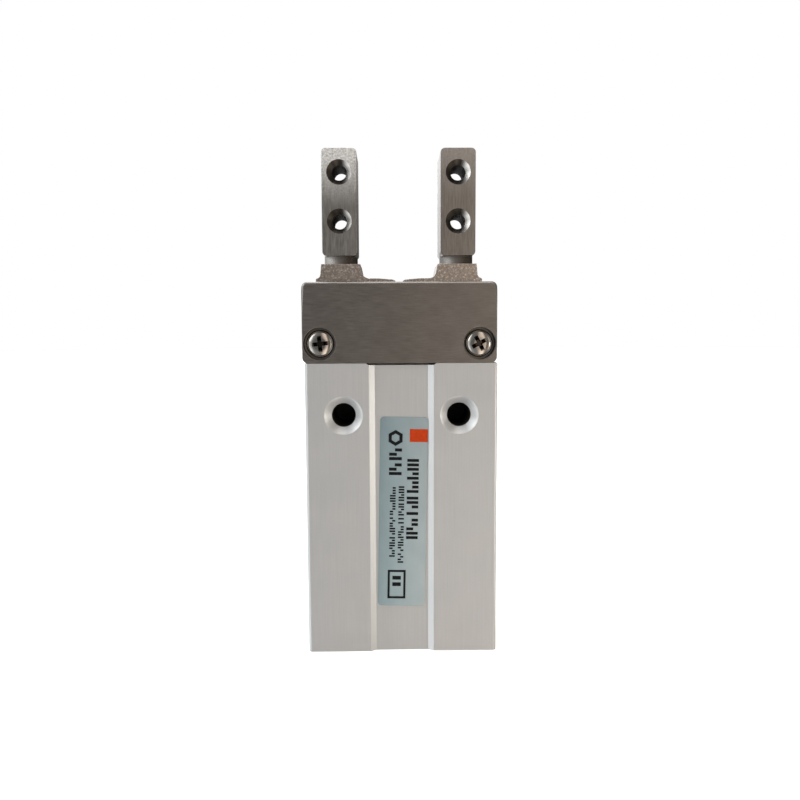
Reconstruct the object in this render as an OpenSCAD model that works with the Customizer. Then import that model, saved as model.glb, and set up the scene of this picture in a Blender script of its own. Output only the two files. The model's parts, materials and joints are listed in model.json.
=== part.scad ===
// Two-finger parallel air gripper, 6 mm bore, double acting, side-tapped fingers.
// Frame: millimetres, origin on the bore axis at the bottom end of the body,
// +Z towards the fingertips, X along the opening direction, front (label side) at -Y.
// The gripper is drawn almost closed: its piston moves up to open it.

/* [Body] */
// Width of the cylinder body along X
body_w = 19.9; // [19.5:0.1:20.5]
// Depth of the body and of the guide along Y
body_d = 10; // [9.8:0.1:10.4]
// Height of the cylinder body
body_h = 30.7; // [30.4:0.1:31.5]
// Sideways offset of the body's outside from the bore axis
body_offset = 0.15; // [0:0.05:0.2]
// Width of the long recess in the front and back faces
recess_w = 6.7; // [5.8:0.1:7.2]
// Depth of that recess
recess_depth = 0.35; // [0.2:0.05:0.4]
// Bore diameter
bore_d = 6; // [5.9:0.05:6.1]

/* [Mounting] */
// Distance between the two side mounting threads, and between the two bottom ones
mount_pitch = 12; // [11.8:0.1:12.2]
// Height of the side mounting threads above the bottom end
side_mount_z = 25.3; // [25:0.1:25.6]
// Minor diameter of the M3 threads
m3_minor_d = 2.5; // [2.4:0.05:2.6]
// Diameter of the countersinks on the side mounting threads
countersink_d = 3.96; // [3.4:0.02:4.1]

/* [Guide] */
// Width of the guide along X
guide_w = 20; // [19.6:0.1:20.4]
// Height of the guide
guide_h = 8.3; // [8.2:0.1:8.6]
// Distance between the two guide screws
screw_pitch = 16.4; // [16.2:0.1:16.6]
// Height of the guide screws above the guide's bottom face
screw_rise = 2; // [1.95:0.05:2.05]

/* [Fingers] */
// Thickness of a finger block along X
finger_t = 3.65; // [3.3:0.05:3.8]
// Depth of a finger block along Y
finger_d = 5; // [4.6:0.1:5.1]
// Height of the fingertips above the bottom end
finger_tip_z = 52.85; // [52:0.05:54]
// Distance of a finger's middle from the centre line, as drawn
finger_x = 6.19; // [6.1:0.01:6.3]
// Distance between a finger's two attachment threads
finger_hole_pitch = 5; // [4.8:0.1:5.2]

/* [Motion] */
// Travel of one finger from closed to open
finger_stroke = 2; // [1.6:0.1:2]
// Opening of one finger beyond its closed stop, as drawn
finger_rest = 0.26; // [0:0.02:0.3]
// Distance from a lever's shaft to the joint pin, along X
lever_in = 4.15; // [4.1:0.01:4.2]
// Distance from a lever's shaft to the middle of its round tip
lever_out = 4.98; // [4.9:0.01:5]

/* [Hidden] */
$fn = 48;
cut = 0.5;                  // how far a cutting shape runs past the face it cuts

aluminium = [0.72, 0.72, 0.71];
steel = [0.42, 0.41, 0.39];
bright_steel = [0.66, 0.66, 0.64];
rubber = [0.1, 0.1, 0.11];
urethane = [0.75, 0.6, 0.35];

// Stack along the bore, bottom to top
socket_r = 3.5;             // locating socket in the bottom end
socket_h = 1.5;
cap_bore_r = 3.2;           // wider bore that takes the rear cap
cap_z = 2.45;
cap_step_z = 5.2;
cap_nose_z = 7.2;
cap_top_z = 8.3;
bumper_h = 0.6;
bore_r = bore_d / 2;
bore_top_z = 25.8;
rear_port_z = 8;
front_port_z = 22;
clip_z = 2.08;
clip_wire_r = 0.34;
clip_ring_r = 3.37;         // from the bore axis to the middle of the clip's wire
clip_groove_r = 3.75;
clip_groove_h = 0.72;

// Threads' depths and chamfers
side_thread_depth = 6;
bottom_thread_depth = 5;
bottom_chamfer_r = 1.65;
port_depth = 4.5;
port_chamfer_r = 1.6;
port_drilling_r = 0.5;
drill_point = 0.6;          // height of a drill point over its radius

// Tongue on top of the body, inside the guide
tongue_h = 3.2;
tongue_d = 5.5;
tongue_w = 19.5;
lever_slot_w = 11.2;
lever_slot_d = 2.5;
lever_slot_z = 29;
tongue_top_z = body_h + tongue_h;
screw_end_y = 2.2;

// Guide section
pocket_d = 5.6;             // pocket under the web, round the tongue
web_z = tongue_top_z + 0.05;
channel_z = web_z + 0.9;
channel_d = 5.7;
lever_window_w = 12;        // opening in the web for the lever tips
lever_window_d = 3.2;
ball_r = 0.6;
ball_y = 2.7;
ball_z = 36.9;
ball_pitch = 1.3;
balls_per_row = 5;
groove_r = ball_r + 0.02;
stop_x = 9.35;
stop_y = 3;
stop_z = 36.2;
stop_r = 0.4;
stop_h = 2.6;
screw_x = screw_pitch / 2;
screw_z = body_h + screw_rise;
screw_hole_r = 0.9;
counterbore_r = 1.65;
counterbore_depth = 1.1;

// Finger shape, drawn for the right finger
carriage_d = 5.1;
carriage_x0 = 0.38;
carriage_x1 = 8.73;
carriage_z = channel_z + 0.1;
flange_z = 39.5;
base_x0 = finger_x - 2.27;
base_x1 = finger_x + 2.06;
base_z = 41;
neck_r = 1.78;
block_z = 41.85;
finger_hole_r = 0.8;
finger_hole_z = finger_tip_z - 2.45;

// Linkage, from its middle position to the drawn one
lever_z = 31.55;
lever_tip_r = 0.9;
lever_arm_w = 1;
lever_t = 1.1;
lever_gap = 0.04;           // half of the gap between the two levers
shaft_r = 0.75;
joint_r = 0.6;
pin_play = 0.01;            // radial play of a pin that is held in its hole
fit_gap = 0.03;             // side clearance of the joint pin and of the lever tips
mid_travel = finger_stroke / 2 - finger_rest;
lever_rest = asin(mid_travel / lever_out);
joint_z = lever_z - lever_in * tan(lever_rest);
tip_slot_x = lever_in - mid_travel;

// Piston, at its drawn height
rod_r = 2;
piston_r = 2.95;
piston_z = cap_top_z + bumper_h + 0.25;
piston_top_z = 21.15;
groove_in_r = 2.1;          // floor of the piston's seal and magnet grooves
seal_z = 17.4;
seal_h = 1.7;
magnet_z = 11;
magnet_h = 3.6;
groove_play = 0.05;         // between a groove's end and what sits in it
rod_top_z = joint_z + 1.3;
rod_slot_w = 2.4;
rod_slot_h = 5;
rod_slot_z = joint_z - 1.9;

// Rear cap, turned
cap_r = cap_bore_r - 0.05;
cap_nose_r = bore_r - 0.05;
cap_stem_r = 2.2;
o_ring_wire_r = 0.33;
o_ring_z = 3.6;
o_ring_groove_r = 2.5;
o_ring_groove_h = 0.8;

// Seals and bumper round the rod
bumper_z = bore_top_z - 3.1;
retainer_z = bore_top_z - 2.4;
rod_seal_z = bore_top_z - 1.6;

module at_both_sides(x) {
    for (side = [-1, 1])
        translate([side * x, 0, 0]) children();
}

module right_or_left(left) {
    mirror([left ? 1 : 0, 0, 0]) children();
}

// Cylinder along +Y from y0 to y1
module y_rod(x, z, r, y0, y1) {
    translate([x, y0, z]) rotate([-90, 0, 0]) cylinder(r = r, h = y1 - y0);
}

// Rectangle from corner to corner whose corners are arcs of radius r
module rounded_rect(x0, y0, x1, y1, r) {
    translate([x0 + r, y0]) square([x1 - x0 - 2 * r, y1 - y0]);
    translate([x0, y0 + r]) square([x1 - x0, y1 - y0 - 2 * r]);
    for (x = [x0 + r, x1 - r], y = [y0 + r, y1 - r])
        translate([x, y]) circle(r = r, $fn = 32);
}

// Blind tapped hole that opens towards -Z at the origin: chamfer, thread and drill point
module tapped_hole(r, depth, mouth_r) {
    translate([0, 0, -cut]) cylinder(r = r, h = depth + cut);
    translate([0, 0, depth]) cylinder(r1 = r, r2 = 0, h = r * drill_point);
    translate([0, 0, -cut]) cylinder(r = mouth_r, h = cut);
    cylinder(r1 = mouth_r, r2 = r, h = mouth_r - r);
}

module ring(r_out, r_in, z0, z1) {
    translate([0, 0, z0]) difference() {
        cylinder(r = r_out, h = z1 - z0);
        translate([0, 0, -cut]) cylinder(r = r_in, h = z1 - z0 + 2 * cut);
    }
}

// ---- Cylinder body ----

module recess_profile() {
    bevel = 0.6;
    half = recess_w / 2;
    polygon([[-half, 0], [-half + bevel, recess_depth], [half - bevel, recess_depth], [half, 0],
        [half, -cut], [-half, -cut]]);
}

// Keyhole groove for a proximity switch, in the left narrow side
module switch_groove_profile() {
    groove_y = 2.4;
    inset = 1.6;
    mouth = 1.9;
    translate([-body_w / 2 + inset, groove_y]) circle(r = 1.4);
    translate([-body_w / 2 - cut, groove_y - mouth / 2]) square([inset + cut, mouth]);
}

module body_profile() {
    corner_r = 0.35;
    half_w = body_w / 2;
    half_d = body_d / 2;
    translate([body_offset, 0]) difference() {
        rounded_rect(-half_w, -half_d, half_w, half_d, corner_r);
        translate([0, -half_d]) recess_profile();
        translate([0, half_d]) rotate(180) recess_profile();
        switch_groove_profile();
    }
}

module bore_cuts() {
    rod_play = 0.05;
    rod_relief = 0.15;
    relief_h = 1.2;
    translate([0, 0, -cut]) cylinder(r = socket_r, h = socket_h + cut);
    cylinder(r = cap_bore_r, h = cap_step_z);
    translate([0, 0, clip_z - clip_groove_h / 2]) cylinder(r = clip_groove_r, h = clip_groove_h);
    cylinder(r = bore_r, h = bore_top_z);
    cylinder(r = rod_r + rod_play, h = body_h);
    translate([0, 0, lever_slot_z - relief_h]) cylinder(r = rod_r + rod_relief, h = body_h);
}

// Air port in the right narrow side, with a small drilling on into the bore
module air_port(z) {
    side_x = body_offset + body_w / 2;
    translate([side_x, 0, z]) rotate([0, -90, 0])
        tapped_hole(m3_minor_d / 2, port_depth, port_chamfer_r);
    translate([bore_r - 1, 0, z]) rotate([0, 90, 0])
        cylinder(r = port_drilling_r, h = side_x - bore_r + 1 - port_depth + cut, $fn = 24);
}

module mounting_cuts() {
    for (side = [-1, 1])
        translate([body_offset + side * mount_pitch / 2, 0, 0]) {
            translate([0, -body_d / 2, side_mount_z]) rotate([-90, 0, 0])
                tapped_hole(m3_minor_d / 2, side_thread_depth, countersink_d / 2);
            tapped_hole(m3_minor_d / 2, bottom_thread_depth, bottom_chamfer_r);
        }
}

module tongue() {
    difference() {
        translate([-tongue_w / 2, -tongue_d / 2, body_h - cut])
            cube([tongue_w, tongue_d, tongue_h + cut]);
        for (side = [-1, 1]) {
            y_rod(side * screw_x, screw_z, 0.8, -tongue_d, screw_end_y);
            y_rod(side * lever_in, lever_z, shaft_r, -tongue_d, tongue_d);
        }
    }
}

// Shallow relief in the body's top end, seen as a dark gap under the guide
module guide_relief() {
    relief_h = 0.2;
    relief_w = 7.3;
    slope = 0.3;
    translate([body_offset, body_d, body_h]) rotate([90, 0, 0])
        linear_extrude(2 * body_d)
            polygon([[-relief_w / 2, cut], [-relief_w / 2, 0], [-relief_w / 2 + slope, -relief_h],
                [relief_w / 2 - slope, -relief_h], [relief_w / 2, 0], [relief_w / 2, cut]]);
}

module cylinder_body() {
    color(aluminium) difference() {
        union() {
            difference() {
                linear_extrude(body_h) body_profile();
                guide_relief();
            }
            tongue();
        }
        bore_cuts();
        translate([-lever_slot_w / 2, -lever_slot_d / 2, lever_slot_z])
            cube([lever_slot_w, lever_slot_d, tongue_h + body_h]);
        air_port(rear_port_z);
        air_port(front_port_z);
        mounting_cuts();
    }
}

// ---- Guide ----

module ball_stop_holes() {
    at_both_sides(stop_x)
        for (y = [-stop_y, stop_y])
            translate([0, y, stop_z - groove_play])
                cylinder(r = stop_r + 2 * pin_play, h = guide_h);
}

module guide() {
    corner_r = 0.6;
    color(steel) difference() {
        translate([0, body_d / 2, body_h]) rotate([90, 0, 0])
            linear_extrude(body_d)
                rounded_rect(-guide_w / 2, 0, guide_w / 2, guide_h, corner_r);
        translate([-guide_w, -pocket_d / 2, body_h - cut])
            cube([2 * guide_w, pocket_d, web_z - body_h + cut]);
        translate([-guide_w, -channel_d / 2, channel_z])
            cube([2 * guide_w, channel_d, guide_h]);
        translate([-lever_window_w / 2, -lever_window_d / 2, web_z - cut])
            cube([lever_window_w, lever_window_d, guide_h]);
        for (side = [-1, 1]) {
            translate([-guide_w, side * ball_y, ball_z]) rotate([0, 90, 0])
                cylinder(r = groove_r, h = 2 * guide_w);
            y_rod(side * screw_x, screw_z, screw_hole_r, -body_d, -1);
            y_rod(side * screw_x, screw_z, counterbore_r, -body_d,
                -body_d / 2 + counterbore_depth);
        }
        ball_stop_holes();
    }
}

module ball_stops() {
    color(bright_steel)
        for (y = [-stop_y, stop_y])
            at_both_sides(stop_x) translate([0, y, stop_z]) cylinder(r = stop_r, h = stop_h);
}

// Pan-head screw along +Y with a cross recess; its head's seat is at y = 0
module guide_screw(turn) {
    shank_r = 0.78;
    shank_l = 5.7;
    head_r = 1.43;
    head_top_r = 0.85;
    head_h = 0.95;
    rim_h = 0.55;
    cross_w = 1.7;
    cross_t = 0.32;
    cross_depth = 0.55;
    rotate([-90, 0, 0]) difference() {
        union() {
            cylinder(r = shank_r, h = shank_l);
            translate([0, 0, -rim_h]) cylinder(r = head_r, h = rim_h);
            translate([0, 0, -head_h])
                cylinder(r1 = head_top_r, r2 = head_r, h = head_h - rim_h);
        }
        rotate(turn) for (a = [0, 90])
            rotate(a) translate([-cross_w / 2, -cross_t / 2, -head_h - cut])
                cube([cross_w, cross_t, cross_depth + cut]);
    }
}

module guide_screws() {
    seat_y = counterbore_depth - body_d / 2;
    color(bright_steel) {
        translate([-screw_x, seat_y, screw_z]) guide_screw(6);
        translate([screw_x, seat_y, screw_z]) guide_screw(28);
    }
}

// ---- Label ----

module name_label() {
    label_w = 5;
    label_h = 20.2;
    label_t = 0.08;
    label_x = body_offset + 0.1;
    label_z = 15;
    tilt = 1.15;
    corner_r = 0.4;
    color([0.72, 0.76, 0.79])
        translate([label_x, recess_depth - body_d / 2, label_z]) rotate([90, tilt, 0])
            linear_extrude(label_t)
                rounded_rect(-label_w / 2, -label_h / 2, label_w / 2, label_h / 2, corner_r);
}

// ---- Rear cap, clip, seals and bumpers ----

module rear_cap() {
    groove_z0 = o_ring_z - o_ring_groove_h / 2;
    groove_z1 = o_ring_z + o_ring_groove_h / 2;
    shoulder_z = cap_step_z - 0.05;
    color(aluminium) rotate_extrude()
        polygon([[0, cap_z], [cap_r, cap_z], [cap_r, groove_z0], [o_ring_groove_r, groove_z0],
            [o_ring_groove_r, groove_z1], [cap_r, groove_z1], [cap_r, shoulder_z],
            [cap_nose_r, shoulder_z], [cap_nose_r, cap_nose_z], [cap_stem_r, cap_nose_z],
            [cap_stem_r, cap_top_z], [0, cap_top_z]]);
}

module cap_o_ring() {
    color(rubber) rotate_extrude()
        translate([o_ring_groove_r + o_ring_wire_r + pin_play, o_ring_z])
            circle(r = o_ring_wire_r, $fn = 24);
}

// Open ring of round wire that snaps into the groove under the rear cap
module cap_clip() {
    clip_gap = 1.8;
    color(bright_steel) difference() {
        rotate_extrude() translate([clip_ring_r, clip_z]) circle(r = clip_wire_r, $fn = 24);
        translate([0, -clip_gap / 2, 0]) cube([2 * clip_ring_r, clip_gap, 2 * clip_z]);
    }
}

module rear_bumper() {
    color(urethane) translate([0, 0, cap_top_z]) cylinder(r = cap_stem_r, h = bumper_h);
}

module front_bumper() {
    color(urethane) ring(bore_r - 0.1, rod_r + 0.2, bumper_z, retainer_z - groove_play);
}

module seal_retainer() {
    color(bright_steel) ring(bore_r - 0.02, rod_r + 0.1, retainer_z, rod_seal_z - 0.1);
}

// Lip seal round the rod: its lips point down at the air
module rod_seal() {
    seal_in_r = rod_r + 0.02;
    seal_out_r = bore_r - 0.02;
    lip_t = 0.23;
    seal_mid_r = (seal_in_r + seal_out_r) / 2;
    color(rubber) translate([0, 0, rod_seal_z]) rotate_extrude()
        polygon([[seal_in_r, 0], [seal_in_r + lip_t, 0], [seal_mid_r, 0.8], [seal_out_r - lip_t, 0],
            [seal_out_r, 0], [seal_out_r, 1.5], [seal_in_r, 1.5]]);
}

module lever_shaft(left) {
    half_l = tongue_d / 2 - groove_play;
    right_or_left(left) color(bright_steel)
        y_rod(lever_in, lever_z, shaft_r - pin_play, -half_l, half_l);
}

// ---- Piston ----

module piston() {
    color(bright_steel) difference() {
        union() {
            translate([0, 0, piston_z]) cylinder(r = piston_r, h = piston_top_z - piston_z);
            translate([0, 0, piston_top_z - cut])
                cylinder(r = rod_r, h = rod_top_z - piston_top_z + cut);
        }
        ring(piston_r + cut, groove_in_r, seal_z, seal_z + seal_h);
        ring(piston_r + cut, groove_in_r, magnet_z, magnet_z + magnet_h);
        translate([-rod_r - cut, -rod_slot_w / 2, rod_slot_z])
            cube([2 * rod_r + 2 * cut, rod_slot_w, rod_slot_h]);
        y_rod(0, joint_z, joint_r, -rod_r - cut, rod_r + cut);
    }
}

// Double-lip seal in the piston's upper groove
module piston_seal() {
    ring_r = groove_in_r + 0.02;
    lip_r = piston_r + 0.01;
    h = seal_h - 2 * groove_play;
    color(rubber) translate([0, 0, seal_z + groove_play]) rotate_extrude()
        polygon([[ring_r, 0], [2.6, 0.1], [lip_r, 0], [lip_r, 0.4], [2.7, h / 2],
            [lip_r, h - 0.4], [lip_r, h], [2.6, h - 0.1], [ring_r, h]]);
}

module piston_magnet() {
    color([0.2, 0.17, 0.16])
        ring(piston_r - 0.07, groove_in_r + 0.02, magnet_z + groove_play,
            magnet_z + magnet_h - groove_play);
}

module joint_pin() {
    half_l = 1.6;
    color(bright_steel) y_rod(0, joint_z, joint_r - pin_play, -half_l, half_l);
}

// ---- Levers ----

// Bell crank in its middle position: shaft at the origin, fork towards -X, round tip up
module lever_profile() {
    hub_r = 1.2;
    fork_w = 2.24;
    fork_end = -lever_in - 1.05;
    fork_start = -lever_in + 0.85;
    fork_r = joint_r + fit_gap;
    difference() {
        union() {
            circle(r = hub_r);
            translate([fork_end, -fork_w / 2]) square([-fork_end, fork_w]);
            translate([-lever_arm_w / 2, 0]) square([lever_arm_w, lever_out]);
            translate([0, lever_out]) circle(r = lever_tip_r);
        }
        circle(r = shaft_r + 2 * pin_play);
        translate([fork_start - fork_r, 0]) circle(r = fork_r);
        translate([fork_end - cut, -fork_r])
            square([fork_start - fork_r - fork_end + cut, 2 * fork_r]);
    }
}

module lever(left) {
    y_front = left ? -lever_gap : lever_gap + lever_t;
    color(bright_steel) right_or_left(left)
        translate([lever_in, y_front, lever_z]) rotate([0, -lever_rest, 0]) rotate([90, 0, 0])
            linear_extrude(lever_t) lever_profile();
}

// ---- Fingers ----

// Outline across the opening direction: carriage, flange, fillets and base
module carriage_profile() {
    fillet_r = 0.8;
    toe_r = 0.45;
    slope_end_x = 2.2;
    difference() {
        polygon([[carriage_x0, carriage_z], [carriage_x0, flange_z - 0.25],
            [carriage_x0 + 0.3, flange_z - 0.12], [slope_end_x, flange_z],
            [base_x0 - fillet_r, flange_z], [base_x0, flange_z + fillet_r],
            [base_x0 + 0.15, base_z], [base_x1 - 0.1, base_z], [base_x1, flange_z + toe_r],
            [carriage_x1, flange_z - 0.1], [carriage_x1, carriage_z]]);
        translate([base_x0 - fillet_r, flange_z + fillet_r]) circle(r = fillet_r);
        translate([base_x1 + toe_r, flange_z + toe_r]) circle(r = toe_r);
    }
}

// Slot in the carriage's underside for the lever's round tip
module tip_slot() {
    half = lever_tip_r + fit_gap;
    slot_top = lever_z + lever_out + lever_tip_r + 0.3;
    translate([tip_slot_x - half, -lever_slot_d / 2, carriage_z - cut])
        cube([2 * half, lever_slot_d, slot_top - carriage_z + cut]);
}

module finger_block() {
    half_t = finger_t / 2;
    corner_r = 0.45;
    translate([finger_x, finger_d / 2, 0]) rotate([90, 0, 0])
        linear_extrude(finger_d) rounded_rect(-half_t, block_z, half_t, finger_tip_z, corner_r);
}

// Through thread along Y with a chamfer at each end
module finger_thread(z) {
    mouth_r = 1.3;
    half_d = finger_d / 2;
    y_rod(finger_x, z, finger_hole_r, -finger_d, finger_d);
    for (side = [-1, 1])
        translate([finger_x, side * half_d, z]) rotate([side * 90, 0, 0])
            translate([0, 0, -cut]) cylinder(r1 = mouth_r + cut, r2 = finger_hole_r,
                h = mouth_r - finger_hole_r + cut);
}

module finger(left) {
    color(steel) right_or_left(left) difference() {
        union() {
            translate([0, carriage_d / 2, 0]) rotate([90, 0, 0])
                linear_extrude(carriage_d) carriage_profile();
            translate([finger_x, 0, base_z - cut])
                cylinder(r = neck_r, h = block_z - base_z + 2 * cut);
            finger_block();
        }
        for (side = [-1, 1])
            translate([-cut, side * ball_y, ball_z]) rotate([0, 90, 0])
                cylinder(r = groove_r, h = guide_w);
        tip_slot();
        finger_thread(finger_hole_z);
        finger_thread(finger_hole_z - finger_hole_pitch);
    }
}

// ---- Ball rows ----

module ball_row(left, front) {
    middle_x = (carriage_x0 + carriage_x1) / 2;
    side_y = front ? -ball_y : ball_y;
    right_or_left(left) color(bright_steel)
        for (i = [0 : balls_per_row - 1])
            translate([middle_x + (i - (balls_per_row - 1) / 2) * ball_pitch, side_y, ball_z])
                sphere(r = ball_r, $fn = 24);
}

cylinder_body();
guide();
guide_screws();
name_label();
rear_cap();
cap_clip();
cap_o_ring();
rear_bumper();
front_bumper();
seal_retainer();
rod_seal();
ball_stops();
lever_shaft(true);  // left_lever_shaft
lever_shaft(false);  // right_lever_shaft
piston();
piston_seal();
piston_magnet();
joint_pin();
lever(true);  // left_lever
lever(false);  // right_lever
finger(true);  // left_finger
finger(false);  // right_finger
ball_row(true, true);  // left_front_balls
ball_row(true, false);  // left_rear_balls
ball_row(false, true);  // right_front_balls
ball_row(false, false);  // right_rear_balls
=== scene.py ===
"""Looks of a two-finger parallel air gripper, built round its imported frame."""

import json
import math
import random

import bmesh
import bpy
from mathutils import Matrix, Vector


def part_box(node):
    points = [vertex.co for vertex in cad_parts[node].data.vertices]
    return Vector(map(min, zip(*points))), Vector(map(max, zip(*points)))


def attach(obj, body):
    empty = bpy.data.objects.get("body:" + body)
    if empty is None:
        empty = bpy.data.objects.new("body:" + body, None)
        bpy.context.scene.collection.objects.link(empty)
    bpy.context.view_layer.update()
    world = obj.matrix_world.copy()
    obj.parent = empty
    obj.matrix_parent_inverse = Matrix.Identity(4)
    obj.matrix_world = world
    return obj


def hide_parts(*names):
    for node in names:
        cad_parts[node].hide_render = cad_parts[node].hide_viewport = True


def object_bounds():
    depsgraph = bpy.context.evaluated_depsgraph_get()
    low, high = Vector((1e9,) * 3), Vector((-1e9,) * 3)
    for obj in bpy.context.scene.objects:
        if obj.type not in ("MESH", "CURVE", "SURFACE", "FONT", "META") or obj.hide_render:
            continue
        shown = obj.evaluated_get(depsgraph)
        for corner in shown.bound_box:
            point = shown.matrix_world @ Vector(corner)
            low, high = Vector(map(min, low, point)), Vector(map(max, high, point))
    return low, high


MM = 0.001

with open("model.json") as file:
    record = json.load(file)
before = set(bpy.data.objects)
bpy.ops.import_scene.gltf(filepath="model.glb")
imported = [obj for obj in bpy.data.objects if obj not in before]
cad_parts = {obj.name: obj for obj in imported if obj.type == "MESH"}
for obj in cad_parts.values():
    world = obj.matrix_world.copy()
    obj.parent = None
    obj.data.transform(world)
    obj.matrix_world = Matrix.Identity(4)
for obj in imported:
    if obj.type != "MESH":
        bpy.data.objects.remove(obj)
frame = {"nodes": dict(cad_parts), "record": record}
cad_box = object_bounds()
NODES = frame["nodes"]


# ---- Places, taken from the frame ----

BODY_LOW, BODY_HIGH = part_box("cylinder_body")
GUIDE_LOW, GUIDE_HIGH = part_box("guide")
LABEL_LOW, LABEL_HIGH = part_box("name_label")
SCREW_LOW, SCREW_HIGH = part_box("guide_screws")
SCREW_HEAD_R = 1.43 * MM
SCREW_HEAD_H = 0.95 * MM
SCREW_PLACES = (SCREW_LOW.x + SCREW_HEAD_R, SCREW_HIGH.x - SCREW_HEAD_R)
SCREW_Z = (SCREW_LOW.z + SCREW_HIGH.z) / 2
FINGER_TIP_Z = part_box("left_finger")[1].z
FINGER_BASE_TOP_Z = GUIDE_HIGH.z + 2.0 * MM
MOUNTS = {mount["name"]: mount for mount in frame["record"]["mounts"]}


def mount_place(name):
    return Vector(MOUNTS[name]["pos_m"])


def direction_to(azimuth, elevation):
    """Unit vector from the object, in degrees: azimuth 0 is in front, positive to the right."""
    azimuth, elevation = math.radians(azimuth), math.radians(elevation)
    return Vector((
        math.sin(azimuth) * math.cos(elevation),
        -math.cos(azimuth) * math.cos(elevation),
        math.sin(elevation),
    ))


# ---- Mesh tools ----

def add_object(name, mesh):
    piece = bpy.data.objects.new(name, mesh)
    bpy.context.scene.collection.objects.link(piece)
    return piece


def mesh_from(name, bm):
    bmesh.ops.recalc_face_normals(bm, faces=bm.faces)
    mesh = bpy.data.meshes.new(name)
    bm.to_mesh(mesh)
    bm.free()
    return mesh


def smooth_with_sharp_edges(mesh, angle=math.radians(38)):
    """Smooth shading across every edge gentler than the angle, without normals kept from the CAD mesh."""
    if "custom_normal" in mesh.attributes:
        mesh.attributes.remove(mesh.attributes["custom_normal"])
    for face in mesh.polygons:
        face.use_smooth = True
    mesh.set_sharp_from_angle(angle=angle)


def weigh_normals(piece):
    """Keeps the large faces flat and lets the narrow edge rounds carry the shading."""
    modifier = piece.modifiers.new("weighted_normals", "WEIGHTED_NORMAL")
    modifier.keep_sharp = True


def place(piece, body, slot, material, *replaced):
    piece.data.materials.clear()
    piece.data.materials.append(material)
    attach(piece, body)
    if replaced:
        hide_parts(*replaced)


def broken_edge_copy(name, node, passes, sharp_angle=math.radians(38)):
    """A copy of a CAD node whose picked edges are rounded, as a real part's are.
    passes is a list of (pick, width, segments, least face angle in degrees)."""
    bm = bmesh.new()
    bm.from_mesh(NODES[node].data)
    bmesh.ops.remove_doubles(bm, verts=bm.verts, dist=0.002 * MM)
    bmesh.ops.dissolve_limit(bm, angle_limit=math.radians(0.6), verts=bm.verts, edges=bm.edges)
    for pick, width, segments, least_angle in passes:
        edges = [
            edge for edge in bm.edges
            if edge.is_manifold and edge.calc_face_angle() > math.radians(least_angle) and pick(edge)
        ]
        bmesh.ops.bevel(
            bm, geom=edges, offset=width, offset_type="OFFSET", segments=segments,
            profile=0.5, affect="EDGES", clamp_overlap=False,
        )
    piece = add_object(name, mesh_from(name, bm))
    smooth_with_sharp_edges(piece.data, sharp_angle)
    weigh_normals(piece)
    return piece


def on_plane(axis, value, tolerance=0.002 * MM):
    """Picks edges that lie in the plane where that coordinate has that value."""
    def pick(edge):
        return all(abs(vertex.co[axis] - value) < tolerance for vertex in edge.verts)
    return pick


def any_of(*picks):
    return lambda edge: any(pick(edge) for pick in picks)


def both_of(*picks):
    return lambda edge: all(pick(edge) for pick in picks)


def lathe(bm, profile, steps=64):
    """Turns a closed (radius, height) outline round the local Z axis."""
    rings = []
    for i in range(steps):
        angle = 2 * math.pi * i / steps
        ring = []
        for radius, height in profile:
            place_at = (radius * math.cos(angle), radius * math.sin(angle), height)
            ring.append(bm.verts.new(place_at))
        rings.append(ring)
    count = len(profile)
    for i in range(steps):
        here, there = rings[i], rings[(i + 1) % steps]
        for k in range(count):
            following = (k + 1) % count
            corners = [here[k], here[following], there[following], there[k]]
            bm.faces.new(corners)
    bmesh.ops.remove_doubles(bm, verts=bm.verts, dist=0.0005 * MM)


def threaded_sleeve(bm, outer_r, thread_h, pitch, z0, z1, steps=40, rows_per_turn=8):
    """A thin sleeve whose inside carries a V thread: crest radius is outer_r - thread_h."""
    wall = 0.02 * MM
    rows = max(2, round((z1 - z0) / pitch * rows_per_turn))
    inner, outer = [], []
    for row in range(rows + 1):
        z = z0 + (z1 - z0) * row / rows
        inner_ring, outer_ring = [], []
        for i in range(steps):
            angle = 2 * math.pi * i / steps
            phase = (z / pitch - i / steps) % 1
            ridge = 1 - abs(2 * phase - 1)
            radius = outer_r - wall - (thread_h - wall) * ridge
            inner_ring.append(bm.verts.new((radius * math.cos(angle), radius * math.sin(angle), z)))
            outer_ring.append(bm.verts.new((outer_r * math.cos(angle), outer_r * math.sin(angle), z)))
        inner.append(inner_ring)
        outer.append(outer_ring)
    for row in range(rows):
        for i in range(steps):
            j = (i + 1) % steps
            bm.faces.new([inner[row][i], inner[row + 1][i], inner[row + 1][j], inner[row][j]])
            bm.faces.new([outer[row][i], outer[row][j], outer[row + 1][j], outer[row + 1][i]])
    for row in (0, rows):
        for i in range(steps):
            j = (i + 1) % steps
            bm.faces.new([inner[row][i], inner[row][j], outer[row][j], outer[row][i]])


def plug(bm, radius, start, end, sides=40):
    """A solid disc across a hole, from start to end along local Z."""
    disc = bmesh.ops.create_circle(bm, cap_ends=True, radius=radius, segments=sides)["verts"]
    bmesh.ops.translate(bm, verts=disc, vec=(0, 0, start))
    faces = list({face for vertex in disc for face in vertex.link_faces})
    raised = bmesh.ops.extrude_face_region(bm, geom=faces)["geom"]
    moved = [item for item in raised if isinstance(item, bmesh.types.BMVert)]
    bmesh.ops.translate(bm, verts=moved, vec=(0, 0, end - start))


def transform(bm, matrix, first_vertex=0):
    """Moves every vertex from first_vertex on."""
    bm.verts.ensure_lookup_table()
    bmesh.ops.transform(bm, matrix=matrix, verts=bm.verts[first_vertex:])


def facing(direction):
    """Rotation that turns local +Z to direction."""
    return Vector((0, 0, 1)).rotation_difference(Vector(direction)).to_matrix().to_4x4()


# ---- Materials ----

def new_material(name):
    material = bpy.data.materials.new(name)
    material.use_nodes = True
    return material, material.node_tree, material.node_tree.nodes["Principled BSDF"]


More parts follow.
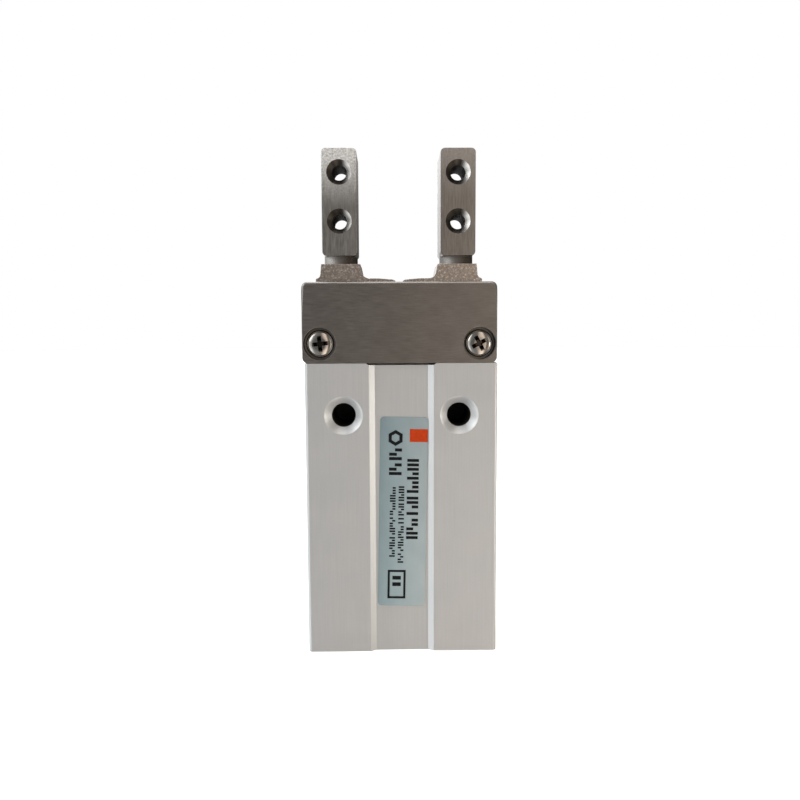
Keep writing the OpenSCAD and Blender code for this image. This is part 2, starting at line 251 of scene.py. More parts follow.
def noise(tree, scale, stretch=(1, 1, 1), detail=3, roughness=0.55):
    """Noise over the object's own coordinates, in metres; it runs along the axis with the least stretch."""
    coordinates = tree.nodes.new("ShaderNodeTexCoord")
    mapping = tree.nodes.new("ShaderNodeMapping")
    mapping.inputs["Scale"].default_value = stretch
    texture = tree.nodes.new("ShaderNodeTexNoise")
    texture.inputs["Scale"].default_value = scale
    texture.inputs["Detail"].default_value = detail
    texture.inputs["Roughness"].default_value = roughness
    tree.links.new(coordinates.outputs["Object"], mapping.inputs["Vector"])
    tree.links.new(mapping.outputs["Vector"], texture.inputs["Vector"])
    return texture.outputs["Fac"]


def ramp(tree, value, stops):
    """Colour ramp; stops are (position, (r, g, b))."""
    node = tree.nodes.new("ShaderNodeValToRGB")
    elements = node.color_ramp.elements
    while len(elements) < len(stops):
        elements.new(0.5)
    for element, (position, colour) in zip(elements, stops):
        element.position = position
        element.color = (*colour, 1)
    tree.links.new(value, node.inputs["Fac"])
    return node.outputs["Color"]


def remap(tree, value, low, high, from_low=0.3, from_high=0.7):
    node = tree.nodes.new("ShaderNodeMapRange")
    node.inputs["From Min"].default_value = from_low
    node.inputs["From Max"].default_value = from_high
    node.inputs["To Min"].default_value = low
    node.inputs["To Max"].default_value = high
    tree.links.new(value, node.inputs["Value"])
    return node.outputs["Result"]


def mix(tree, factor, first, second, blend="MIX"):
    """Mixes two colours. Sockets 0, 6 and 7 are the factor and the colours, and output 2 the result."""
    node = tree.nodes.new("ShaderNodeMix")
    node.data_type = "RGBA"
    node.blend_type = blend
    for socket, value in ((0, factor), (6, first), (7, second)):
        if isinstance(value, bpy.types.NodeSocket):
            tree.links.new(value, node.inputs[socket])
        else:
            node.inputs[socket].default_value = value
    return node.outputs[2]


def multiply(tree, first, second):
    node = tree.nodes.new("ShaderNodeMath")
    node.operation = "MULTIPLY"
    for socket, value in zip(node.inputs, (first, second)):
        if isinstance(value, bpy.types.NodeSocket):
            tree.links.new(value, socket)
        else:
            socket.default_value = value
    return node.outputs["Value"]


def bump(tree, shader, height, distance, strength=1.0):
    node = tree.nodes.new("ShaderNodeBump")
    node.inputs["Strength"].default_value = strength
    node.inputs["Distance"].default_value = distance
    tree.links.new(height, node.inputs["Height"])
    tree.links.new(node.outputs["Normal"], shader.inputs["Normal"])


def axis_ramp(tree, axis, start, end):
    """0 at start and 1 at end along one of the object's own axes."""
    coordinates = tree.nodes.new("ShaderNodeTexCoord")
    parts = tree.nodes.new("ShaderNodeSeparateXYZ")
    tree.links.new(coordinates.outputs["Object"], parts.inputs["Vector"])
    return remap(tree, parts.outputs[axis], 0, 1, start, end)


def near_axis(tree, centre, radius):
    """1 within that distance of the line along Y through centre, 0 outside."""
    coordinates = tree.nodes.new("ShaderNodeTexCoord")
    flatten = tree.nodes.new("ShaderNodeMapping")
    flatten.inputs["Scale"].default_value = (1, 0, 1)
    distance = tree.nodes.new("ShaderNodeVectorMath")
    distance.operation = "DISTANCE"
    distance.inputs[1].default_value = (centre[0], 0, centre[2])
    tree.links.new(coordinates.outputs["Object"], flatten.inputs["Vector"])
    tree.links.new(flatten.outputs["Vector"], distance.inputs[0])
    return remap(tree, distance.outputs["Value"], 1, 0, radius, radius + 0.02 * MM)


def shades(colour, spread):
    """A darker and a lighter version of a colour."""
    return (
        tuple(channel * (1 - spread) for channel in colour),
        tuple(min(1, channel * (1 + spread)) for channel in colour),
    )


def metal(name, colour, roughness, stretch, scale=1.0, spread=0.12, metallic=1.0, depth=0.004 * MM):
    """Ground or drawn metal: fine streaks along the axis with the least stretch."""
    material, tree, shader = new_material(name)
    shader.inputs["Metallic"].default_value = metallic
    streaks = noise(tree, scale, stretch, detail=4)
    dark, light = shades(colour, spread)
    colour_out = ramp(tree, streaks, [(0.32, dark), (0.68, light)])
    tree.links.new(colour_out, shader.inputs["Base Color"])
    tree.links.new(remap(tree, streaks, roughness[0], roughness[1]), shader.inputs["Roughness"])
    bump(tree, shader, streaks, depth)
    return material, tree, shader, colour_out


def anodised_aluminium():
    """Satin clear anodising over a drawn extrusion: faint lengthwise lines and a very fine grain."""
    material, tree, shader = new_material("anodised_aluminium")
    shader.inputs["Metallic"].default_value = 0.7
    shader.inputs["Specular IOR Level"].default_value = 0.4
    lines = noise(tree, 1.0, (9000, 9000, 160), detail=3)
    grain = noise(tree, 14000, detail=2)
    cloud = noise(tree, 260, detail=3)
    base = ramp(tree, lines, [(0.3, (0.482, 0.491, 0.497)), (0.7, (0.512, 0.521, 0.528))])
    grain_colour = ramp(tree, grain, [(0.3, (0.88, 0.88, 0.88)), (0.7, (1, 1, 1))])
    base = mix(tree, 0.6, base, grain_colour, "MULTIPLY")
    cloud_colour = ramp(tree, cloud, [(0.35, (0.95, 0.955, 0.96)), (0.65, (1, 0.995, 0.985))])
    base = mix(tree, 0.8, base, cloud_colour, "MULTIPLY")
    tree.links.new(base, shader.inputs["Base Color"])
    tree.links.new(remap(tree, grain, 0.40, 0.52), shader.inputs["Roughness"])
    bump(tree, shader, grain, 0.003 * MM, 0.6)
    return material


def guide_steel():
    """Ground stainless steel, brushed across the width."""
    material, tree, shader, colour = metal(
        "guide_steel", (0.222, 0.211, 0.200), (0.30, 0.42), (700, 12000, 12000),
        spread=0.10, depth=0.002 * MM,
    )
    stains = noise(tree, 420, (1, 1, 1.4), detail=4)
    stain_colour = ramp(tree, stains, [(0.36, (0.86, 0.85, 0.84)), (0.66, (1, 1, 1))])
    toned = mix(tree, 0.7, colour, stain_colour, "MULTIPLY")
    tree.links.new(toned, shader.inputs["Base Color"])
    return material


def finger_steel(side, milled_glints_from, milled_glints_to, milled_glints_amount, tone):
    """Stainless steel ground along its length. Its milled tip has near-white flecks, painted glints; the
    base has a rough cast grain, the neck is dull and carries painted shade on its right, and the mouths of
    the threads carry painted shade on their left and a painted highlight on their right."""
    material, tree, shader, colour = metal(
        f"{side}_finger_steel", tone, (0.28, 0.40), (9000, 9000, 700), spread=0.15,
    )
    ground = shader.inputs["Roughness"].links[0].from_socket
    dims = MOUNTS[f"{side}_finger_threads"]["dims"]
    middle = mount_place(f"{side}_finger_threads")

    mottle = noise(tree, 5200, detail=4, roughness=0.7)
    cast = ramp(tree, mottle, [
        (0.36, (0.30, 0.26, 0.235)), (0.56, (0.45, 0.405, 0.37)), (0.66, (0.85, 0.81, 0.77)),
    ])
    base = axis_ramp(tree, "Z", FINGER_BASE_TOP_Z + 0.6 * MM, FINGER_BASE_TOP_Z)
    colour = mix(tree, base, colour, cast)

    neck_top = FINGER_BASE_TOP_Z + 0.9 * MM
    neck = multiply(
        tree,
        axis_ramp(tree, "Z", FINGER_BASE_TOP_Z - 0.04 * MM, FINGER_BASE_TOP_Z + 0.02 * MM),
        axis_ramp(tree, "Z", neck_top, neck_top - 0.1 * MM),
    )
    # Painted shade: the neck runs from a lighter left to a dark right.
    neck_painted_shade_ramp = axis_ramp(tree, "X", middle.x - 0.8 * MM, middle.x + 0.9 * MM)
    neck_colour_with_painted_shade = mix(tree, neck_painted_shade_ramp, (0.36, 0.345, 0.33, 1), (0.085, 0.074, 0.066, 1))
    colour = mix(tree, neck, colour, neck_colour_with_painted_shade)
    tree.links.new(mix(tree, neck, ground, (0.60, 0.60, 0.60, 1)), shader.inputs["Roughness"])

    # Painted glints: the milled grain towards the tip is drawn as near-white flecks.
    glint_flecks = remap(tree, mottle, 0.45, 1.0, 0.40, 0.62)
    height = axis_ramp(tree, "Z", milled_glints_from, milled_glints_to)
    milled_glints = multiply(tree, multiply(tree, height, glint_flecks), milled_glints_amount)
    colour = mix(tree, milled_glints, colour, (0.90, 0.90, 0.885, 1))

    mouth_r = 1.28 * MM
    for step in (-0.5, 0.5):
        centre = middle + Vector((0, 0, step * dims["spacing_y_mm"] * MM))
        # Painted shade and highlight: each thread mouth is dark on its left and carries a painted highlight
        # on its right.
        mouth = near_axis(tree, centre, mouth_r)
        mouth_shade_to_highlight = axis_ramp(tree, "X", centre.x + 0.3 * MM, centre.x + 1.1 * MM)
        mouth_painted_shading = mix(tree, mouth_shade_to_highlight, (0.070, 0.063, 0.056, 1), (0.58, 0.57, 0.55, 1))
        colour = mix(tree, mouth, colour, mouth_painted_shading)
        milled_glints = multiply(tree, milled_glints, remap(tree, mouth, 1, 0, 0, 1))
    tree.links.new(colour, shader.inputs["Base Color"])
    tree.links.new(remap(tree, milled_glints, 1.0, 0.25, 0, 1), shader.inputs["Metallic"])
    return material


def screw_steel():
    """Bright plated steel, with painted shade down in the driver recess."""
    material, tree, shader, colour = metal(
        "screw_steel", (0.42, 0.40, 0.375), (0.10, 0.18), (1, 1, 1),
        scale=1500, spread=0.08, depth=0.001 * MM,
    )
    recess_r = 0.88 * MM
    inside = axis_ramp(tree, "Y", SCREW_LOW.y + 0.16 * MM, SCREW_LOW.y + 0.24 * MM)
    for x in SCREW_PLACES:
        # Painted shade: the driver recess is darkened down inside it.
        recess = multiply(tree, near_axis(tree, (x, 0, SCREW_Z), recess_r), inside)
        colour = mix(tree, recess, colour, (0.055, 0.047, 0.042, 1))
    tree.links.new(colour, shader.inputs["Base Color"])
    return material


def bright_steel(name, colour=(0.60, 0.60, 0.585), roughness=(0.10, 0.22), scale=2500):
    """Bright hardened steel with a fine tumbled grain."""
    return metal(name, colour, roughness, (1, 1, 1), scale=scale, spread=0.1, depth=0.001 * MM)[0]


def thread_shadow():
    """Cut thread, near black: painted shade down in its hole."""
    material, _, shader, _ = metal(
        "thread_shadow", (0.022, 0.020, 0.018), (0.6, 0.8), (1, 1, 1),
        scale=4000, spread=0.35, metallic=0.0,
    )
    shader.inputs["Specular IOR Level"].default_value = 0.12
    return material


def soft_material(name, colour, roughness, spread=0.12, scale=3000, subsurface=0.0):
    """Rubber, urethane or bonded magnet: matt, with a fine moulded grain."""
    material, tree, shader = new_material(name)
    grain = noise(tree, scale, detail=4)
    dark, light = shades(colour, spread)
    tree.links.new(ramp(tree, grain, [(0.35, dark), (0.65, light)]), shader.inputs["Base Color"])
    tree.links.new(remap(tree, grain, roughness - 0.06, roughness + 0.06), shader.inputs["Roughness"])
    shader.inputs["Subsurface Weight"].default_value = subsurface
    shader.inputs["Subsurface Scale"].default_value = 0.4 * MM
    bump(tree, shader, grain, 0.004 * MM)
    return material


def label_film():
    """Satin polyester film, pale blue-grey, with painted shade towards its left side and its top."""
    material, tree, shader = new_material("label_film")
    across = axis_ramp(tree, "X", LABEL_LOW.x, LABEL_HIGH.x)
    up = axis_ramp(tree, "Z", LABEL_LOW.z, LABEL_HIGH.z)
    # Painted shade: the film darkens towards its left side and towards its top.
    sideways = ramp(tree, across, [
        (0.0, (0.203, 0.268, 0.290)), (0.35, (0.266, 0.334, 0.349)), (1.0, (0.340, 0.388, 0.394)),
    ])
    painted_top_shade = ramp(tree, up, [(0.0, (1.0, 1.0, 1.0)), (1.0, (0.74, 0.76, 0.78))])
    base = mix(tree, 1.0, sideways, painted_top_shade, "MULTIPLY")
    cloud = noise(tree, 900, (1, 1, 0.5), detail=4)
    cloud_colour = ramp(tree, cloud, [(0.35, (0.9, 0.92, 0.93)), (0.65, (1, 1, 1))])
    base = mix(tree, 0.8, base, cloud_colour, "MULTIPLY")
    tree.links.new(base, shader.inputs["Base Color"])
    shader.inputs["Metallic"].default_value = 0.25
    tree.links.new(remap(tree, cloud, 0.34, 0.46), shader.inputs["Roughness"])
    bump(tree, shader, cloud, 0.004 * MM)
    return material


def print_ink(name, colour):
    """Screen-printed ink with slightly uneven cover."""
    material, tree, shader = new_material(name)
    cover = noise(tree, 6000, detail=3)
    dark, light = shades(colour, 0.15)
    tree.links.new(ramp(tree, cover, [(0.35, dark), (0.65, light)]), shader.inputs["Base Color"])
    tree.links.new(remap(tree, cover, 0.38, 0.55), shader.inputs["Roughness"])
    shader.inputs["Specular IOR Level"].default_value = 0.12
    return material


# ---- Cylinder body ----

def build_body(material):
    ends = any_of(on_plane(2, GUIDE_LOW.z), on_plane(2, BODY_LOW.z))
    faces = any_of(on_plane(1, BODY_LOW.y), on_plane(1, BODY_HIGH.y))
    sides = any_of(on_plane(0, BODY_LOW.x), on_plane(0, BODY_HIGH.x))
    margin = 0.3 * MM

    def between_ends(edge):
        """Leaves out the short edges that the first pass makes at both ends."""
        heights = [vertex.co.z for vertex in edge.verts]
        return max(heights) > BODY_LOW.z + margin and min(heights) < GUIDE_LOW.z - margin

    piece = broken_edge_copy("body_shell", "cylinder_body", [
        (ends, 0.09 * MM, 3, 60),
        (both_of(any_of(faces, sides), between_ends), 0.05 * MM, 2, 25),
    ], sharp_angle=math.radians(25))
    place(piece, "body", "body_anodised", material, "cylinder_body")


def build_body_threads(material):
    """M3 threads in the front, in the bottom end and in the two air ports, each with its hole's floor."""
    dims = MOUNTS["side_mount_threads"]["dims"]
    centre = mount_place("side_mount_threads")
    hole_r = dims["hole_r_mm"] * MM - 0.002 * MM
    thread_h = 0.05 * MM
    pitch = 0.5 * MM
    chamfer = 0.75 * MM
    holes = []
    for side, sign in (("left", -1), ("right", 1)):
        x = centre.x + sign * dims["spacing_x_mm"] * MM / 2
        holes.append((f"side_thread_{side}", (x, BODY_LOW.y, centre.z), (0, 1, 0), 5.9 * MM))
        holes.append((f"bottom_thread_{side}", (x, 0, 0), (0, 0, 1), 4.9 * MM))
    for port in ("closing_port", "opening_port"):
        y, z = mount_place(port).yz
        holes.append((f"{port}_thread", (BODY_HIGH.x, y, z), (-1, 0, 0), 4.4 * MM))
    for name, mouth, inward, depth in holes:
        bm = bmesh.new()
        threaded_sleeve(bm, hole_r, thread_h, pitch, chamfer, depth)
        plug(bm, hole_r, depth - 0.02 * MM, depth - 0.002 * MM)
        transform(bm, Matrix.Translation(mouth) @ facing(inward))
        piece = add_object(name, mesh_from(name, bm))
        smooth_with_sharp_edges(piece.data)
        place(piece, "body", "body_anodised", material)


# ---- Guide ----

def build_guide(material):
    faces = any_of(on_plane(1, GUIDE_LOW.y), on_plane(1, GUIDE_HIGH.y))
    ends = any_of(on_plane(0, GUIDE_LOW.x), on_plane(0, GUIDE_HIGH.x))
    corner = 0.62 * MM

    def round_the_top(edge):
        return all(vertex.co.z > GUIDE_HIGH.z - corner for vertex in edge.verts)

    piece = broken_edge_copy("guide_block", "guide", [
        (both_of(faces, round_the_top), 0.28 * MM, 4, 60),
        (any_of(faces, ends), 0.08 * MM, 2, 60),
    ])
    place(piece, "body", "guide_steel", material, "guide")


# ---- Guide screws ----

def screw_profile():
    """Half outline of a pan-head screw; its seat is at height 0 and its head reaches up."""
    head_r, head_h, rim_h = SCREW_HEAD_R, SCREW_HEAD_H, 0.42 * MM
    flat_r = 0.5 * MM
    edge = 0.05 * MM
    shank_r, shank_l, tip_l = 0.62 * MM, 5.6 * MM, 0.25 * MM
    outline = [(0, -shank_l), (shank_r * 0.7, -shank_l), (shank_r, -shank_l + tip_l), (shank_r, 0)]
    outline += [(head_r - edge, 0), (head_r, edge), (head_r, rim_h)]
    steps = 9
    for i in range(1, steps + 1):
        angle = math.pi / 2 * i / steps
        radius = flat_r + (head_r - flat_r) * math.cos(angle)
        outline.append((radius, rim_h + (head_h - rim_h) * math.sin(angle)))
    outline.append((0, head_h))
    return outline


def slot_cutter(depth, top, quarter_turn):
    """A tapered blade; two of them, square to each other, cut the driver recess."""
    bm = bmesh.new()
    arm, arm_low = 0.86 * MM, 0.36 * MM
    half, half_low = 0.21 * MM, 0.12 * MM
    overshoot = 0.3 * MM
    grow = 1 + overshoot / depth
    top_arm = arm_low + (arm - arm_low) * grow
    top_half = half_low + (half - half_low) * grow
    corners = []
    for sx, sy in ((-1, -1), (1, -1), (1, 1), (-1, 1)):
        corners.append((sx * arm_low, sy * half_low, top - depth))
    for sx, sy in ((-1, -1), (1, -1), (1, 1), (-1, 1)):
        corners.append((sx * top_arm, sy * top_half, top + overshoot))
    verts = [bm.verts.new(corner) for corner in corners]
    for face in ((3, 2, 1, 0), (4, 5, 6, 7), (0, 1, 5, 4), (1, 2, 6, 5), (2, 3, 7, 6), (3, 0, 4, 7)):
        bm.faces.new([verts[k] for k in face])
    transform(bm, Matrix.Rotation(math.radians(90 * quarter_turn), 4, "Z"))
    return bm


def boolean_cut(piece, cutter):
    modifier = piece.modifiers.new("cut", "BOOLEAN")
    modifier.operation = "DIFFERENCE"
    modifier.solver = "EXACT"
    modifier.object = cutter
    bpy.context.view_layer.update()
    result = bpy.data.meshes.new_from_object(piece.evaluated_get(bpy.context.evaluated_depsgraph_get()))
    piece.modifiers.clear()
    piece.data = result
    bpy.data.objects.remove(cutter)


def build_guide_screws(material):
    """Two screws with cross recesses, stopped at different turns. The CAD has them in one node, which
    the left one replaces."""
    seat_y = SCREW_LOW.y + SCREW_HEAD_H
    recess_depth = 0.55 * MM
    upright = Matrix.Rotation(math.radians(90), 4, "X")
    for side, x, turn in zip(("left", "right"), SCREW_PLACES, (6, 28)):
        name = f"guide_screw_{side}"
        bm = bmesh.new()
        lathe(bm, screw_profile())
        piece = add_object(name, mesh_from(name, bm))
        for quarter_turn in (0, 1):
            blade = mesh_from(f"{name}_blade", slot_cutter(recess_depth, SCREW_HEAD_H, quarter_turn))
            boolean_cut(piece, add_object(f"{name}_blade", blade))
        bm = bmesh.new()
        bm.from_mesh(piece.data)
        spin = Matrix.Rotation(math.radians(turn), 4, "Z")
        transform(bm, Matrix.Translation((x, seat_y, SCREW_Z)) @ upright @ spin)
        bm.to_mesh(piece.data)
        bm.free()
        smooth_with_sharp_edges(piece.data, math.radians(30))
        replaced = ["guide_screws"] if side == "left" else []
        place(piece, "body", "screw_steel", material, *replaced)


# ---- Label ----

class Label:
    """The label's plane: places are millimetres from its top left corner, x across and y down."""

    width = 5.0 * MM
    height = 20.2 * MM
    tilt = math.radians(1.15)
    ink = 0.012 * MM

    def __init__(self):
        self.centre = (LABEL_LOW + LABEL_HIGH) / 2
        self.front = LABEL_LOW.y

    def matrix(self):
        lean = Matrix.Rotation(self.tilt, 4, "Y")
        return Matrix.Translation((self.centre.x, self.front, self.centre.z)) @ lean

    def rectangle(self, bm, x0, y0, x1, y1):
        """A raised block of ink between two corners."""
        corners = []
        for depth in (0.0, -self.ink):
            for x, y in ((x0, y0), (x1, y0), (x1, y1), (x0, y1)):
                corners.append((x * MM - self.width / 2, depth, self.height / 2 - y * MM))
        verts = [bm.verts.new(corner) for corner in corners]
        for face in ((0, 1, 2, 3), (7, 6, 5, 4), (0, 4, 5, 1), (1, 5, 6, 2), (2, 6, 7, 3), (3, 7, 4, 0)):
            bm.faces.new([verts[k] for k in face])

    def frame(self, bm, x0, y0, x1, y1, line):
        """A rectangular outline: four bars that meet at the corners."""
        self.rectangle(bm, x0, y0, x1, y0 + line)
        self.rectangle(bm, x0, y1 - line, x1, y1)
        self.rectangle(bm, x0, y0 + line, x0 + line, y1 - line)
        self.rectangle(bm, x1 - line, y0 + line, x1, y1 - line)

    def bar_column(self, bm, x0, x1, y0, y1, line, gap, seed):
        """Bars of uneven length down a column, in place of a line of print."""
        chance = random.Random(seed)
        y = y0
        while y + line <= y1:
            left, right = x0, x1
            kind = chance.random()
            if kind < 0.25:
                left += (x1 - x0) * 0.45
            elif kind < 0.45:
                right -= (x1 - x0) * 0.4
            self.rectangle(bm, left, y, right, y + line)
            y += line + gap * (2.4 if chance.random() < 0.16 else 1)

    def ring(self, bm, x, y, outer_r, inner_r, sides):
        """A flat polygonal ring."""
        loops = []
        for radius in (outer_r, inner_r):
            for depth in (0.0, -self.ink):
                loop = []
                for i in range(sides):
                    angle = 2 * math.pi * (i + 0.5) / sides
                    across = (x + radius * math.cos(angle)) * MM - self.width / 2
                    up = self.height / 2 - (y + radius * math.sin(angle)) * MM
                    loop.append(bm.verts.new((across, depth, up)))
                loops.append(loop)
        outer_back, outer_front, inner_back, inner_front = loops
        for i in range(sides):
            j = (i + 1) % sides
            bm.faces.new([outer_front[i], outer_front[j], inner_front[j], inner_front[i]])
            bm.faces.new([outer_back[i], inner_back[i], inner_back[j], outer_back[j]])
            bm.faces.new([outer_front[i], outer_back[i], outer_back[j], outer_front[j]])
            bm.faces.new([inner_front[i], inner_front[j], inner_back[j], inner_back[i]])

    def add_print(self, name, bm, ink):
        """Makes a piece of the drawn ink, leaning as the label does."""
        transform(bm, self.matrix())
        place(add_object(name, mesh_from(name, bm)), "body", "label_film", ink)


def build_label(film, dark_ink, orange_ink):
    whole_front = on_plane(1, LABEL_LOW.y)
    plate = broken_edge_copy("label_plate", "name_label", [(whole_front, 0.03 * MM, 2, 60)])
    place(plate, "body", "label_film", film, "name_label")

    label = Label()
    bm = bmesh.new()
    label.ring(bm, 1.62, 2.2, 0.84, 0.46, 6)
    label.bar_column(bm, 0.98, 2.3, 3.3, 6.45, 0.32, 0.14, seed=3)
    label.bar_column(bm, 2.88, 4.1, 4.4, 13.3, 0.30, 0.17, seed=11)
    label.bar_column(bm, 2.02, 2.62, 7.3, 15.6, 0.17, 0.11, seed=5)
    label.bar_column(bm, 1.12, 1.72, 7.4, 15.0, 0.17, 0.11, seed=8)
    label.frame(bm, 1.0, 16.3, 2.9, 19.4, 0.23)
    label.rectangle(bm, 1.5, 16.95, 2.4, 17.35)
    label.rectangle(bm, 1.5, 17.65, 2.4, 18.05)
    label.add_print("label_print_dark", bm, dark_ink)

    bm = bmesh.new()
    label.rectangle(bm, 3.1, 1.25, 4.97, 2.6)
    label.add_print("label_print_orange", bm, orange_ink)


# ---- Fingers ----

def build_finger(side, material, thread_material):
    """One finger from its CAD node, and the threads of its two through holes."""
    node = f"{side}_finger"
    low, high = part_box(node)
    sleeve_name = f"{side}_finger_threads"
    dims = MOUNTS[sleeve_name]["dims"]
    middle = mount_place(sleeve_name)
    front_y = middle.y
    block = any_of(on_plane(1, front_y), on_plane(1, -front_y))
    carriage_ends = any_of(on_plane(0, low.x), on_plane(0, high.x))
    carriage = any_of(on_plane(1, low.y), on_plane(1, high.y), carriage_ends)
    piece = broken_edge_copy(f"{side}_finger_body", node, [
        (block, 0.07 * MM, 2, 60),
        (carriage, 0.05 * MM, 2, 60),
    ])
    place(piece, node, "finger_steel", material, node)

    hole_r = dims["hole_r_mm"] * MM - 0.002 * MM
    thread_h, pitch = 0.05 * MM, 0.4 * MM
    chamfer = 0.52 * MM
    depth = -2 * front_y
    bm = bmesh.new()
    for step in (-0.5, 0.5):
        first = len(bm.verts)
        threaded_sleeve(bm, hole_r, thread_h, pitch, chamfer, depth - chamfer)
        mouth = middle + Vector((0, 0, step * dims["spacing_y_mm"] * MM))
        transform(bm, Matrix.Translation(mouth) @ facing((0, 1, 0)), first)
    sleeve = add_object(sleeve_name, mesh_from(sleeve_name, bm))
    smooth_with_sharp_edges(sleeve.data)
    place(sleeve, node, "finger_steel", thread_material)


# ---- Cap and inner pieces ----

def build_cap(material):
    low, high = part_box("rear_cap")
    piece = broken_edge_copy("rear_cap_turned", "rear_cap", [
        (any_of(on_plane(2, low.z), on_plane(2, high.z)), 0.08 * MM, 2, 60),
    ])
    place(piece, "body", "cap_aluminium", material, "rear_cap")


def dress_nodes(material, *nodes):
    """Gives CAD nodes that are shown as they are their material."""
    for node in nodes:
        mesh = NODES[node].data
        for slot in range(len(mesh.materials)):
            mesh.materials[slot] = material


# ---- Stage, light and camera ----

def build_floor():
    material, tree, shader = new_material("studio_floor")
    tone = noise(tree, 3.0, detail=2)
    colour = ramp(tree, tone, [(0.3, (0.90, 0.90, 0.90)), (0.7, (0.92, 0.92, 0.92))])
    tree.links.new(colour, shader.inputs["Base Color"])
    shader.inputs["Roughness"].default_value = 0.9
    shader.inputs["Specular IOR Level"].default_value = 0.1
    shader.inputs["Emission Color"].default_value = (1, 1, 1, 1)
    shader.inputs["Emission Strength"].default_value = 0.38
    radius = 1.5
    bm = bmesh.new()
    bmesh.ops.create_circle(bm, cap_ends=True, radius=radius, segments=96)
    floor = add_object("studio_floor", mesh_from("studio_floor", bm))
    floor.data.materials.append(material)
    floor.visible_glossy = False


def build_world():
    """White to the camera. The object sees a room: a bright window at the left, dim in front, warm a
    little to the right, cream far to the right, and a narrow window behind, just left of the middle."""
    world = bpy.data.worlds.new("studio")
    bpy.context.scene.world = world
    world.use_nodes = True
    tree = world.node_tree
    tree.nodes.clear()
    coordinates = tree.nodes.new("ShaderNodeTexCoord")
    parts = tree.nodes.new("ShaderNodeSeparateXYZ")
    tree.links.new(coordinates.outputs["Generated"], parts.inputs["Vector"])
    sideways = remap(tree, parts.outputs["X"], 0, 1, -1, 1)
    in_front = ramp(tree, sideways, [
        (0.0, (1.70, 1.72, 1.72)), (0.12, (1.15, 1.18, 1.18)), (0.2, (0.80, 0.82, 0.83)),
        (0.28, (0.28, 0.28, 0.28)), (0.42, (0.19, 0.19, 0.19)), (0.5, (0.19, 0.18, 0.17)),
        (0.58, (0.90, 0.775, 0.665)), (0.66, (1.25, 1.08, 0.93)), (0.73, (0.20, 0.172, 0.15)),
        (0.83, (0.22, 0.19, 0.17)), (0.91, (0.92, 0.83, 0.69)), (1.0, (0.16, 0.15, 0.13)),
    ])
    behind = ramp(tree, sideways, [
        (0.0, (0.55, 0.56, 0.57)), (0.33, (0.70, 0.71, 0.72)), (0.42, (1.8, 1.8, 1.8)),
        (0.47, (2.0, 2.0, 2.0)), (0.54, (0.16, 0.15, 0.14)), (1.0, (0.10, 0.09, 0.085)),
    ])
    depth = remap(tree, parts.outputs["Y"], 0, 1, -0.2, 0.3)
    around = mix(tree, depth, in_front, behind)
    height = ramp(tree, remap(tree, parts.outputs["Z"], 0, 1, -1, 1), [
        (0.0, (1.5, 1.5, 1.5)), (0.30, (1.3, 1.3, 1.3)), (0.44, (0.72, 0.72, 0.72)),
        (0.54, (0.66, 0.655, 0.65)), (0.62, (0.92, 0.92, 0.92)), (1.0, (1.0, 1.0, 1.0)),
    ])
    room = mix(tree, 1.0, around, height, "MULTIPLY")
    lit = tree.nodes.new("ShaderNodeBackground")
    tree.links.new(room, lit.inputs["Color"])
    lit.inputs["Strength"].default_value = 1.4
    white = tree.nodes.new("ShaderNodeBackground")
    white.inputs["Color"].default_value = (1, 1, 1, 1)
    white.inputs["Strength"].default_value = 1.0
    rays = tree.nodes.new("ShaderNodeLightPath")
    choose = tree.nodes.new("ShaderNodeMixShader")
    output = tree.nodes.new("ShaderNodeOutputWorld")
    tree.links.new(rays.outputs["Is Camera Ray"], choose.inputs["Fac"])
    tree.links.new(lit.outputs["Background"], choose.inputs[1])
    tree.links.new(white.outputs["Background"], choose.inputs[2])
    tree.links.new(choose.outputs["Shader"], output.inputs["Surface"])


def add_light(name, azimuth, elevation, distance, size, power, colour, aim_at=None, spread=180):
    """A square softbox in degrees, metres and watts, aimed at a height on the object's middle line."""
    if aim_at is None:
        aim_at = (cad_box[0][2] + cad_box[1][2]) / 2
    direction = direction_to(azimuth, elevation)
    light = bpy.data.lights.new(name, "AREA")
    light.shape = "SQUARE"
    light.size = size
    light.energy = power
    light.color = colour
    light.spread = math.radians(spread)
    lamp = bpy.data.objects.new(name, light)
    lamp.location = Vector((0, 0, aim_at)) + direction * distance
    lamp.rotation_euler = direction.to_track_quat("Z", "Y").to_euler()
    lamp.visible_camera = False
    bpy.context.scene.collection.objects.link(lamp)


def add_overhead_sun():
    """Even light from straight above: it whitens the floor out to the horizon."""
    light = bpy.data.lights.new("overhead", "SUN")
    light.energy = 1.3
    light.angle = math.radians(50)
    sun = bpy.data.objects.new("overhead", light)
    bpy.context.scene.collection.objects.link(sun)


def build_camera():
    """At the photograph's viewing angle: just left of the middle, looking slightly down."""
    target = Vector((0, BODY_LOW.y, 26.9 * MM))
    distance = 73.8 * MM
    direction = direction_to(-0.88, 5.35)
    roll = math.radians(-0.27)
    lens = bpy.data.cameras.new("camera")
    lens.lens = 32.2
    lens.sensor_width = 36
    lens.clip_start = 1 * MM
    lens.clip_end = 10
    camera = bpy.data.objects.new("camera", lens)
    camera.location = target + direction * distance
    aim = direction.to_track_quat("Z", "Y").to_matrix().to_4x4()
    camera.rotation_euler = (aim @ Matrix.Rotation(roll, 4, "Z")).to_euler()
    bpy.context.scene.collection.objects.link(camera)
    bpy.context.scene.camera = camera


# ---- Assembly ----

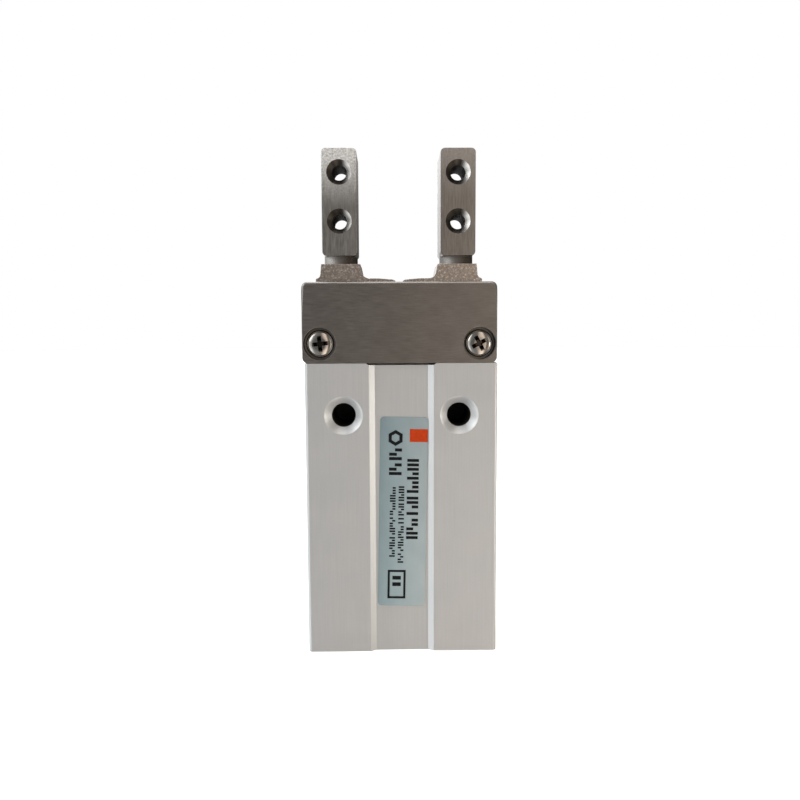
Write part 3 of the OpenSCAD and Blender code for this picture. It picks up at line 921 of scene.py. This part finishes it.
aluminium = anodised_aluminium()
threads = thread_shadow()
build_body(aluminium)
build_body_threads(threads)
build_guide(guide_steel())
build_guide_screws(screw_steel())
build_label(
    label_film(),
    print_ink("dark_ink", (0.004, 0.005, 0.006)),
    print_ink("orange_ink", (0.35, 0.029, 0.001)),
)
left_steel = finger_steel(
    "left", milled_glints_from=FINGER_TIP_Z - 6 * MM, milled_glints_to=FINGER_TIP_Z - 1 * MM, milled_glints_amount=0.82,
    tone=(0.288, 0.286, 0.278),
)
right_steel = finger_steel(
    "right", milled_glints_from=FINGER_TIP_Z - 5 * MM, milled_glints_to=FINGER_TIP_Z, milled_glints_amount=0.20,
    tone=(0.244, 0.232, 0.219),
)
build_finger("left", left_steel, threads)
build_finger("right", right_steel, threads)
build_cap(metal("turned_aluminium", (0.58, 0.58, 0.57), (0.30, 0.42), (2200, 2200, 2200))[0])

bearing_steel = bright_steel("bearing_steel")
piston_steel = bright_steel("piston_steel", (0.58, 0.575, 0.56), (0.18, 0.32), 3000)
lever_steel = bright_steel("lever_steel", (0.36, 0.35, 0.34), (0.28, 0.45), 3500)
rubber = soft_material("seal_rubber", (0.020, 0.020, 0.022), 0.55)
urethane = soft_material("urethane", (0.50, 0.33, 0.12), 0.42, subsurface=0.3)
bonded_magnet = soft_material("bonded_magnet", (0.060, 0.052, 0.050), 0.6)
dress_nodes(bearing_steel, "cap_clip", "seal_retainer", "ball_stops", "joint_pin")
for side in ("left", "right"):
    dress_nodes(bearing_steel, f"{side}_lever_shaft", f"{side}_front_balls", f"{side}_rear_balls")
    dress_nodes(lever_steel, f"{side}_lever")
dress_nodes(piston_steel, "piston")
dress_nodes(rubber, "cap_o_ring", "rod_seal", "piston_seal")
dress_nodes(urethane, "rear_bumper", "front_bumper")
dress_nodes(bonded_magnet, "piston_magnet")

build_floor()
build_world()
add_light(
    "key_left", azimuth=-62, elevation=30, distance=0.45, size=0.30, power=0.55,
    colour=(0.97, 0.99, 1.0),
)
add_light(
    "edge_left", azimuth=-88, elevation=38, distance=0.45, size=0.30, power=0.3,
    colour=(1.0, 1.0, 1.0),
)
add_light(
    "warm_right", azimuth=68, elevation=3, distance=0.085, size=0.05, power=0.0040,
    colour=(1.0, 0.94, 0.86), aim_at=5 * MM, spread=44,
)
add_overhead_sun()
build_camera()
bpy.context.scene.view_settings.view_transform = "Standard"
